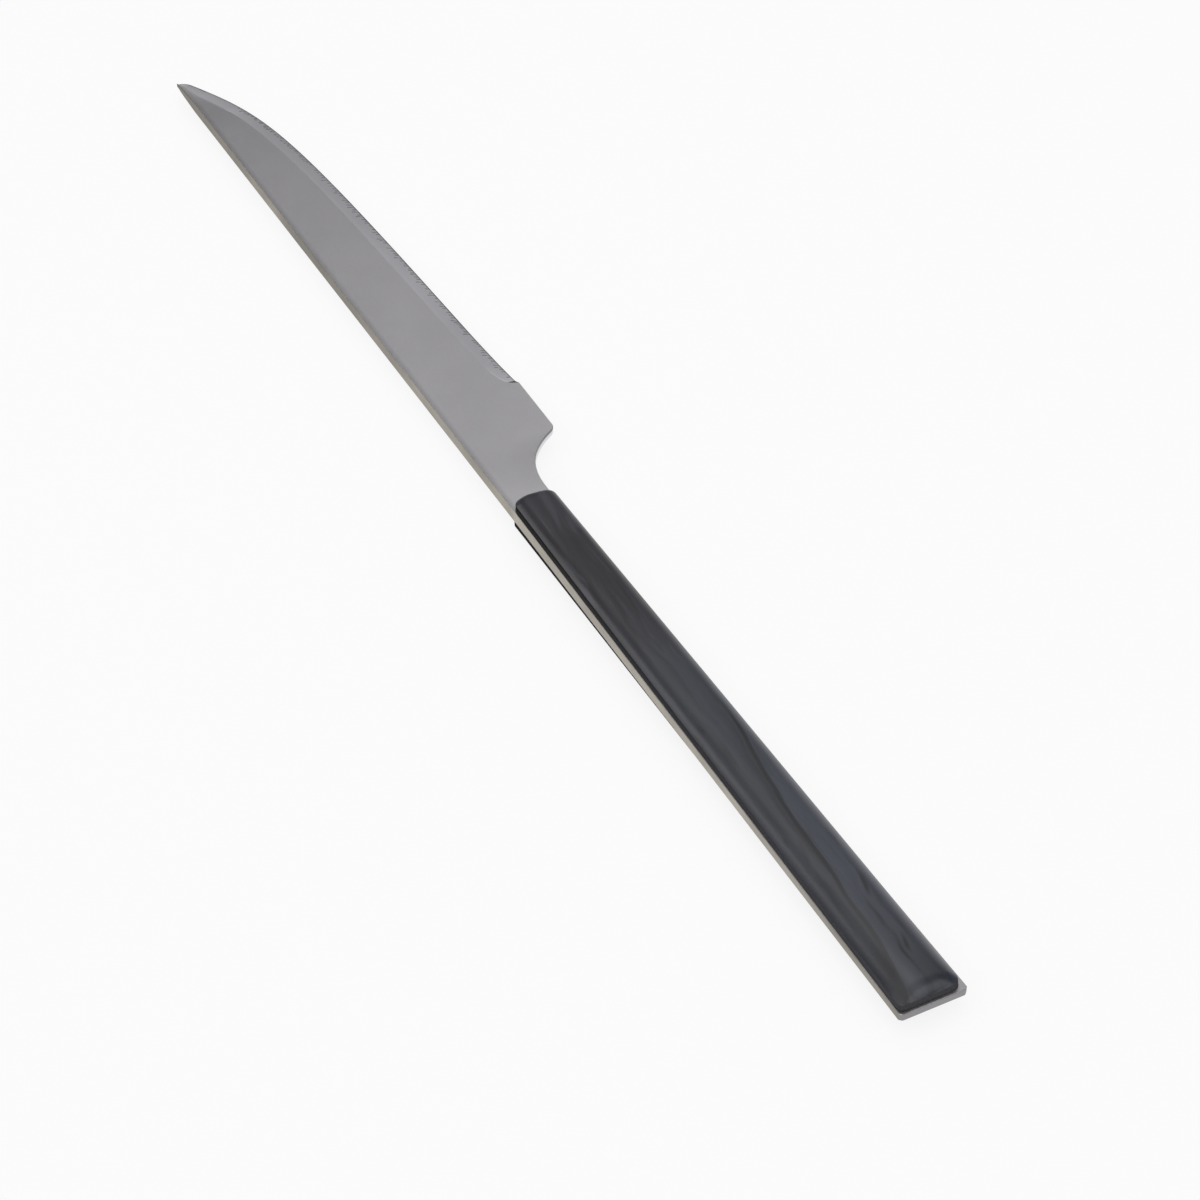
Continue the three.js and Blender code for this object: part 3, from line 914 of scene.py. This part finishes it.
# Short dark wisps of the upper scale: place from the tip and from the spine, half length and
# half width in millimetres, slope in degrees, and how dark
WISPS = (
    (113.6, 4.7, 8.1, 0.7, -3.5, 0.5),
    (117.7, 2.7, 7.2, 0.4, -5.7, 0.7),
    (125.0, 1.8, 8.0, 0.5, -4.4, 0.8),
    (130.6, 3.1, 5.3, 0.45, -5.4, 0.8),
    (130.8, 5.0, 4.9, 0.35, -5.5, 0.8),
    (135.1, 2.3, 6.2, 0.8, -7.0, 0.6),
    (139.0, 4.5, 1.7, 0.35, -3.8, 0.4),
    (156.1, 1.6, 1.7, 0.5, -3.7, 0.4),
    (162.3, 2.5, 2.6, 0.6, -0.2, 0.5),
    (178.9, 1.4, 1.3, 0.4, -9.0, 0.4),
    (181.9, 2.3, 2.0, 0.5, -13.3, 0.5),
    (181.4, 7.1, 2.2, 0.35, -0.4, 0.4),
    (189.3, 1.8, 3.9, 0.5, -2.9, 0.3),
    (190.2, 6.5, 2.2, 0.35, -5.9, 0.8),
    (195.4, 5.3, 3.4, 0.35, -4.0, 0.6),
    (201.7, 6.0, 2.1, 0.35, -4.1, 0.7),
    (201.5, 5.2, 3.8, 0.35, -2.2, 0.5),
    # The last three, broad and level, darken the crown where it falls to the butt: partly darker resin,
    # partly painted shade
    (206.0, 1.6, 7.0, 1.6, 0.0, 0.4),
    (207.5, 6.8, 6.0, 2.4, 0.0, 0.35),
    (206.0, 4.6, 16.0, 5.0, 0.0, 0.3),
)
# How far a wisp reaches down into the resin, in millimetres
WISP_DEPTH = 4

# Sizes of the resin's pattern in millimetres: its drift, streaks and clouds, how far the drift
# moves the streaks and the vein, and half the width over which the tint changes beside the vein
DRIFT_SIZE = 7
STREAK_WIDTH = 1.4
CLOUD_SIZE = 5
STREAK_DRIFT = (5, 1.6, 2)
VEIN_DRIFT = (1.5, 0.4, 1)
TINT_CHANGE = 0.8
# Stretch of the streaks, little along the handle, where they are long, and their slope across it
STREAK_STRETCH = (0.07, 1, 0.6)
STREAK_SLOPE = math.radians(5)
# Places from the tip, in millimetres, up to which and from which the resin is all front or all rear
FRONT_UNTIL = 125
REAR_FROM = 150


def resin_material(finish):
    """Cast polyester resin, marbled in slate grey and polished: soft streaks under a clear gloss."""
    material, tree = new_material("marbled_cast_resin")
    places = real_places(tree)
    drift = add_node(tree, "TexNoise", {"Vector": places, "Scale": 1 / DRIFT_SIZE, "Detail": 1})
    centred = add_node(tree, "VectorMath", {0: drift.outputs[1], 1: (0.5, 0.5, 0.5)}, operation="SUBTRACT")
    warped = add_node(tree, "VectorMath", {
        0: centred, 1: STREAK_DRIFT, 2: places}, operation="MULTIPLY_ADD").outputs[0]
    axes = add_node(tree, "SeparateXYZ", {"Vector": places})
    to_front = add_node(tree, "MapRange", {
        "Value": axes.outputs["X"], "From Min": REAR_FROM, "From Max": FRONT_UNTIL}, **EASY)
    upper = add_node(tree, "MapRange", {"Value": axes.outputs["Z"], "From Min": 0, "From Max": 1})

    # Soft dark and pale streaks drawn out along the handle, falling a little towards the near side
    drawn = add_node(tree, "Mapping", {
        "Vector": warped, "Rotation": (0, 0, STREAK_SLOPE), "Scale": STREAK_STRETCH})
    streaks = add_node(tree, "TexNoise", {
        "Vector": drawn, "Scale": 1 / STREAK_WIDTH, "Detail": 2, "Roughness": 0.5})
    clouds = add_node(tree, "TexNoise", {"Vector": drawn, "Scale": 1 / CLOUD_SIZE, "Detail": 2})
    depth = add_node(tree, "MapRange", {"Value": to_front, "To Min": 0.3, "To Max": 0.65})
    soft = add_node(tree, "MapRange", {
        "Value": streaks, "From Min": 0.49, "From Max": 0.36, "To Max": depth}, **EASY)
    glow = add_node(tree, "MapRange", {"Value": to_front, "To Min": 0.12, "To Max": 0.32})
    pale = add_node(tree, "MapRange", {
        "Value": streaks, "From Min": 0.5, "From Max": 0.62, "To Max": glow}, **EASY)

    # The long vein, with a soft dark border, and the wisps lie near the top of the upper scale
    gently = add_node(tree, "VectorMath", {
        0: centred, 1: VEIN_DRIFT, 2: places}, operation="MULTIPLY_ADD")
    gentle = add_node(tree, "SeparateXYZ", {"Vector": gently})
    vein_y = follow(tree, gentle.outputs["X"], VEIN, VEIN_SPAN)
    beside = add_node(tree, "Math", {0: gentle.outputs["Y"], 1: vein_y}, operation="SUBTRACT")
    off_vein = add_node(tree, "Math", {0: beside}, operation="ABSOLUTE")
    core = add_node(tree, "MapRange", {
        "Value": off_vein, "From Min": VEIN_HALF_WIDTH, "From Max": 0.1, "To Max": 0.85}, **EASY)
    leaning = add_node(tree, "Math", {0: beside, 1: VEIN_HALF_WIDTH}, operation="ADD")
    off_border = add_node(tree, "Math", {0: leaning}, operation="ABSOLUTE")
    border = add_node(tree, "MapRange", {
        "Value": off_border, "From Min": 3 * VEIN_HALF_WIDTH, "From Max": 0.1, "To Max": 0.35}, **EASY)
    long_vein = add_node(tree, "Math", {0: core, 1: border}, operation="ADD")
    begun = add_node(tree, "MapRange", {
        "Value": axes.outputs["X"], "From Min": VEIN[0][0], "From Max": VEIN[1][0], "To Max": upper})
    dark = add_node(tree, "Math", {0: long_vein, 1: begun, 2: soft}, operation="MULTIPLY_ADD")
    for x, y, half_length, half_width, slope, darkness in WISPS:
        inside = add_node(tree, "Mapping", {
            "Vector": warped, "Location": (x, y, (UPPER_TOP - MID_HEIGHT) / MM),
            "Rotation": (0, 0, math.radians(slope)), "Scale": (half_length, half_width, WISP_DEPTH)},
            vector_type="TEXTURE")
        far = add_node(tree, "VectorMath", {0: inside}, operation="LENGTH")
        wisp = add_node(tree, "MapRange", {
            "Value": far.outputs["Value"], "From Min": 1.3, "From Max": 0.2, "To Max": darkness}, **EASY)
        dark = add_node(tree, "Math", {0: dark, 1: wisp}, operation="ADD")

    # Bluish on the far side of the long vein and slate grey on its near side
    side = add_node(tree, "MapRange", {"Value": beside, "From Min": -TINT_CHANGE, "From Max": TINT_CHANGE})
    cloudy = add_node(tree, "Math", {0: clouds, 1: 0.8, 2: side}, operation="MULTIPLY_ADD")
    tint = add_node(tree, "MapRange", {"Value": cloudy, "From Min": 0.2, "From Max": 1.2})
    rear = add_node(tree, "Mix", {
        0: tint, 6: linear(finish.slate), 7: linear(finish.bluish)}, data_type="RGBA")
    base = add_node(tree, "Mix", {
        0: to_front, 6: rear.outputs[2], 7: linear(finish.front_resin)}, data_type="RGBA")
    streaked = add_node(tree, "Mix", {
        0: pale, 6: base.outputs[2], 7: linear(finish.pale)}, data_type="RGBA")
    veined = add_node(tree, "Mix", {
        0: dark, 6: streaked.outputs[2], 7: linear(finish.vein)}, data_type="RGBA", clamp_factor=True)
    shader = add_node(tree, "BsdfPrincipled", {
        "Base Color": veined.outputs[2], "Roughness": 0.28, "IOR": 1.54})
    add_node(tree, "OutputMaterial", {"Surface": shader})
    return material


# Colour of the thin dark corner between a scale's wall and its crown, a painted dark reflection, and how
# far below it, in millimetres, it starts to darken and is dark
CORNER_REFLECTION_COLOUR = "#0A0A0B"
CORNER_START = 0.5
CORNER_FULL = 0.25
# Width of the sanding scratches in millimetres, as coarse as it needs to be to show
SCRATCH_WIDTH = 0.6


def wall_material(finish):
    """Cast resin, sanded flush on a belt: matte walls whose dark colour, darkest at the front, is painted
    shade, with a painted dark reflection as a nearly black corner above them.
    """
    material, tree = new_material("sanded_resin_painted_shade")
    places = real_places(tree)
    axes = add_node(tree, "SeparateXYZ", {"Vector": places})
    along = add_node(tree, "MapRange", {
        "Value": axes.outputs["X"], "From Min": BLADE_LENGTH / MM, "From Max": LENGTH / MM})
    colour = add_node(tree, "Mix", {
        0: along, 6: linear(finish.front_wall), 7: linear(finish.rear_wall)}, data_type="RGBA")
    corner = add_node(tree, "MapRange", {
        "Value": along, "To Min": wall_top(BLADE_LENGTH) / MM, "To Max": wall_top(LENGTH) / MM})
    height = add_node(tree, "Math", {0: axes.outputs["Z"]}, operation="ABSOLUTE")
    below = add_node(tree, "Math", {0: height, 1: corner}, operation="SUBTRACT")
    shade = add_node(tree, "MapRange", {
        "Value": below, "From Min": -CORNER_START, "From Max": -CORNER_FULL, "To Max": 0.85})
    fading = add_node(tree, "MapRange", {
        "Value": along, "From Min": 0.05, "From Max": 0.6, "To Min": 1, "To Max": 0.1})
    line = add_node(tree, "Math", {0: shade, 1: fading}, operation="MULTIPLY")
    lined = add_node(tree, "Mix", {0: line, 6: colour.outputs[2], 7: linear(CORNER_REFLECTION_COLOUR)}, data_type="RGBA")
    scratches = add_node(tree, "Mapping", {"Vector": places, "Scale": (0.2, 3, 3)})
    grain = add_node(tree, "TexNoise", {"Vector": scratches, "Scale": 1 / SCRATCH_WIDTH, "Detail": 4})
    tone = add_node(tree, "MapRange", {
        "Value": grain, "From Min": 0.3, "From Max": 0.7, "To Min": 0.85, "To Max": 1.15})
    worn = add_node(tree, "VectorMath", {0: lined.outputs[2], "Scale": tone}, operation="SCALE")
    relief = add_node(tree, "Bump", {"Height": grain, "Strength": 0.3, "Distance": SCRATCH_HEIGHT})
    shader = add_node(tree, "BsdfPrincipled", {
        "Base Color": worn, "Roughness": 0.8, "Specular IOR Level": 0.03, "Normal": relief})
    add_node(tree, "OutputMaterial", {"Surface": shader})
    return material


# Distance of the adhesive's bubbles in millimetres, and its colours in and between them
BUBBLE_SPACING = 0.8
CLEAR_EPOXY = "#D8CFAE"
DEEP_EPOXY = "#C4B98F"


def film_material():
    """Cured epoxy adhesive: translucent honey, smooth, with small bubbles."""
    material, tree = new_material("cured_epoxy")
    bubbles = add_node(tree, "TexVoronoi", {"Vector": real_places(tree), "Scale": 1 / BUBBLE_SPACING})
    tone = add_node(tree, "MapRange", {
        "Value": bubbles.outputs["Distance"], "From Min": 0.1, "From Max": 0.4})
    colour = add_node(tree, "Mix", {
        0: tone, 6: linear(CLEAR_EPOXY), 7: linear(DEEP_EPOXY)}, data_type="RGBA")
    shader = add_node(tree, "BsdfPrincipled", {
        "Base Color": colour.outputs[2], "Roughness": 0.4, "IOR": 1.55})
    add_node(tree, "OutputMaterial", {"Surface": shader})
    return material


class KNIFE_OT_make_plate(bpy.types.Operator):
    """Build the plate of blade and tang with its eased corners, ground bevel and fine teeth"""
    bl_idname = "knife.make_plate"
    bl_label = "Make the plate"

    def execute(self, context):
        settings = context.scene.knife_plate
        teeth = ToothRow(settings.tooth_pitch, settings.tooth_depth, settings.tooth_height)
        rings = plate_rings(settings, teeth)
        piece = skinned("plate_of_blade_and_tang", rings, FACET_ANGLE)
        for material in plate_materials(context.scene.knife_finish):
            piece.data.materials.append(material)
        count = len(rings[0])
        for face in piece.data.polygons:
            local = min(face.vertices) % count
            face.material_index = plate_finish(face, min(local, count - 1 - local), teeth)
        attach(piece, BODY)
        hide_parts("blade_and_tang")
        return {"FINISHED"}


class KNIFE_OT_make_scales(bpy.types.Operator):
    """Build the two handle scales with their rounded shoulders and marbled resin"""
    bl_idname = "knife.make_scales"
    bl_label = "Make the scales"

    def execute(self, context):
        finish = context.scene.knife_finish
        finishes = (resin_material(finish), wall_material(finish))
        for side, name in ((1, "upper_scale"), (-1, "lower_scale")):
            rings = scale_rings(context.scene.knife_scale, side)
            piece = skinned("marbled_" + name, rings, ROUND_ANGLE)
            for material in finishes:
                piece.data.materials.append(material)
            count = len(rings[0])
            for face in piece.data.polygons:
                if min(face.vertices) < WALL_RINGS * count:
                    face.material_index = 1
            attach(piece, BODY)
            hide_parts(name)
        return {"FINISHED"}


class KNIFE_OT_dress_hidden_pieces(bpy.types.Operator):
    """Give the adhesive films and the hidden pins their materials"""
    bl_idname = "knife.dress_hidden_pieces"
    bl_label = "Dress films and pins"

    def execute(self, context):
        epoxy = film_material()
        # Stainless wire, drawn through a die: fine lines along the pin
        wire = steel_material("drawn_stainless_wire", context.scene.knife_finish.steel, roughness=0.3,
                              grain=0.5, contrast=0.06, bump=0.3, stretch=(3, 3, 0.4))
        for node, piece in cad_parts.items():
            if node.endswith("_film"):
                piece.data.materials.clear()
                piece.data.materials.append(epoxy)
            elif node.endswith("_pin"):
                piece.data.materials.clear()
                piece.data.materials.append(wire)
        return {"FINISHED"}


class KNIFE_OT_set_stage(bpy.types.Operator):
    """Set the floor, the lamps, the surroundings and the camera"""
    bl_idname = "knife.set_stage"
    bl_label = "Set the stage"

    def execute(self, context):
        settings = context.scene.knife_stage
        self.lay_floor(settings)
        self.hang_lamps(context.scene, settings)
        self.paint_surroundings(context.scene, settings)
        self.place_camera(context.scene, settings)
        context.scene.view_settings.view_transform = "Standard"
        return {"FINISHED"}

    def lay_floor(self, settings):
        half = FLOOR_SIZE / 2
        corners = [(-half, -half, 0), (half, -half, 0), (half, half, 0), (-half, half, 0)]
        floor = new_piece("floor", corners, [(0, 1, 2, 3)])
        # Seamless background paper: matte and almost white, with most of its white shown as it is
        material, tree = new_material("background_paper")
        paper = add_node(tree, "BsdfPrincipled", {
            "Base Color": linear(settings.floor), "Roughness": 0.9, "Specular IOR Level": 0.0})
        white = add_node(tree, "Emission", {"Color": (1, 1, 1, 1), "Strength": 1.0})
        path = add_node(tree, "LightPath")
        seen = add_node(tree, "Math", {
            0: path.outputs["Is Camera Ray"], 1: path.outputs["Is Glossy Ray"]}, operation="MAXIMUM")
        seen = add_node(tree, "Math", {
            0: seen, 1: path.outputs["Is Transmission Ray"]}, operation="MAXIMUM")
        share = add_node(tree, "Math", {0: seen, 1: SHOWN_WHITE}, operation="MULTIPLY")
        both = add_node(tree, "MixShader", {0: share, 1: paper, 2: white})
        add_node(tree, "OutputMaterial", {"Surface": both})
        floor.data.materials.append(material)

    def hang_lamps(self, scene, settings):
        # Name, brightness, place, the spot that it faces, width and height, in metres
        lamps = (
            ("overhead_softbox", settings.overhead, (0.5, -0.575, 1.1), (0.5, -0.575, 0), 2.4, 1.85),
            ("far_softbox", settings.far_panel, (-0.15, 0.2, 0.44), (-0.15, 0.2, 0), 0.5, 0.5),
            ("left_softbox", settings.left_panel, (-0.539, -0.503, 0.516), (0, 0, 0), 0.3, 0.3),
            ("right_softbox", settings.right_panel, (0.701, 0.304, 0.602), (0.1, 0, 0), 0.4, 0.4),
        )
        for name, brightness, place, target, width, height in lamps:
            lamp = bpy.data.lights.new(name, "AREA")
            lamp.shape = "RECTANGLE"
            lamp.size = width
            lamp.size_y = height
            # The power that gives the panel a radiance equal to its brightness
            lamp.energy = brightness * math.pi * width * height
            holder = bpy.data.objects.new(name, lamp)
            holder.location = place
            holder.rotation_euler = (Vector(target) - holder.location).to_track_quat("-Z", "Y").to_euler()
            holder.visible_camera = False
            scene.collection.objects.link(holder)

    def paint_surroundings(self, scene, settings):
        world = bpy.data.worlds.new("studio")
        world.use_nodes = True
        tree = world.node_tree
        tree.nodes.clear()
        # A white sweep stands beyond the knife; the other walls are dim, and so is the ceiling
        way = add_node(tree, "TexCoord")
        ahead = (-math.sin(settings.heading), math.cos(settings.heading), 0)
        beyond = add_node(tree, "VectorMath", {0: way.outputs["Generated"], 1: ahead},
                          operation="DOT_PRODUCT")
        walls = add_node(tree, "MapRange", {
            "Value": beyond.outputs["Value"], "From Min": 0.4, "From Max": 0.85,
            "To Min": 0.22, "To Max": 0.98}, **EASY)
        axes = add_node(tree, "SeparateXYZ", {"Vector": way.outputs["Generated"]})
        upwards = add_node(tree, "MapRange", {
            "Value": axes.outputs["Z"], "From Min": 0.0, "From Max": 0.75}, **EASY)
        level = add_node(tree, "Mix", {0: upwards, 2: walls, 3: 0.2}, data_type="FLOAT")
        path = add_node(tree, "LightPath")
        shown = add_node(tree, "Mix", {
            0: path.outputs["Is Camera Ray"], 2: level, 3: 1.0}, data_type="FLOAT")
        background = add_node(tree, "Background", {"Color": (1, 1, 1, 1), "Strength": shown})
        add_node(tree, "OutputWorld", {"Surface": background})
        scene.world = world

    def place_camera(self, scene, settings):
        heading, pitch = settings.heading, settings.pitch
        right = Vector((math.cos(heading), math.sin(heading), 0))
        ground = Vector((-math.sin(heading), math.cos(heading), 0))
        ahead = ground * math.cos(pitch) - Vector((0, 0, math.sin(pitch)))
        up = right.cross(ahead)
        data = bpy.data.cameras.new("camera")
        data.sensor_width = SENSOR_WIDTH
        data.lens = settings.lens
        data.clip_start = 0.05
        data.clip_end = 100
        camera = bpy.data.objects.new("camera", data)
        turn = Matrix((right, up, -ahead)).transposed().to_4x4()
        camera.matrix_world = Matrix.Translation(settings.place) @ turn
        scene.collection.objects.link(camera)
        scene.camera = camera


class KNIFE_PT_panel(bpy.types.Panel):
    bl_idname = "KNIFE_PT_panel"
    bl_label = "Dessert knife"
    bl_space_type = "VIEW_3D"
    bl_region_type = "UI"
    bl_category = "Knife"

    def draw(self, context):
        for operator in OPERATORS:
            self.layout.operator(operator.bl_idname)
        for name, group in GROUPS.items():
            for setting in group.__annotations__:
                self.layout.prop(getattr(context.scene, name), setting)


OPERATORS = (KNIFE_OT_set_stage, KNIFE_OT_make_plate, KNIFE_OT_make_scales, KNIFE_OT_dress_hidden_pieces)
GROUPS = {
    "knife_plate": KnifePlateSettings,
    "knife_scale": KnifeScaleSettings,
    "knife_finish": KnifeFinishSettings,
    "knife_stage": KnifeStageSettings,
}
CLASSES = (*GROUPS.values(), *OPERATORS, KNIFE_PT_panel)


def register():
    for kind in CLASSES:
        bpy.utils.register_class(kind)
    for name, group in GROUPS.items():
        setattr(bpy.types.Scene, name, bpy.props.PointerProperty(type=group))


def unregister():
    for name in GROUPS:
        delattr(bpy.types.Scene, name)
    for kind in reversed(CLASSES):
        bpy.utils.unregister_class(kind)


def main():
    register()
    bpy.ops.knife.set_stage()
    bpy.ops.knife.make_plate()
    bpy.ops.knife.make_scales()
    bpy.ops.knife.dress_hidden_pieces()


if __name__ == "__main__":
    main()
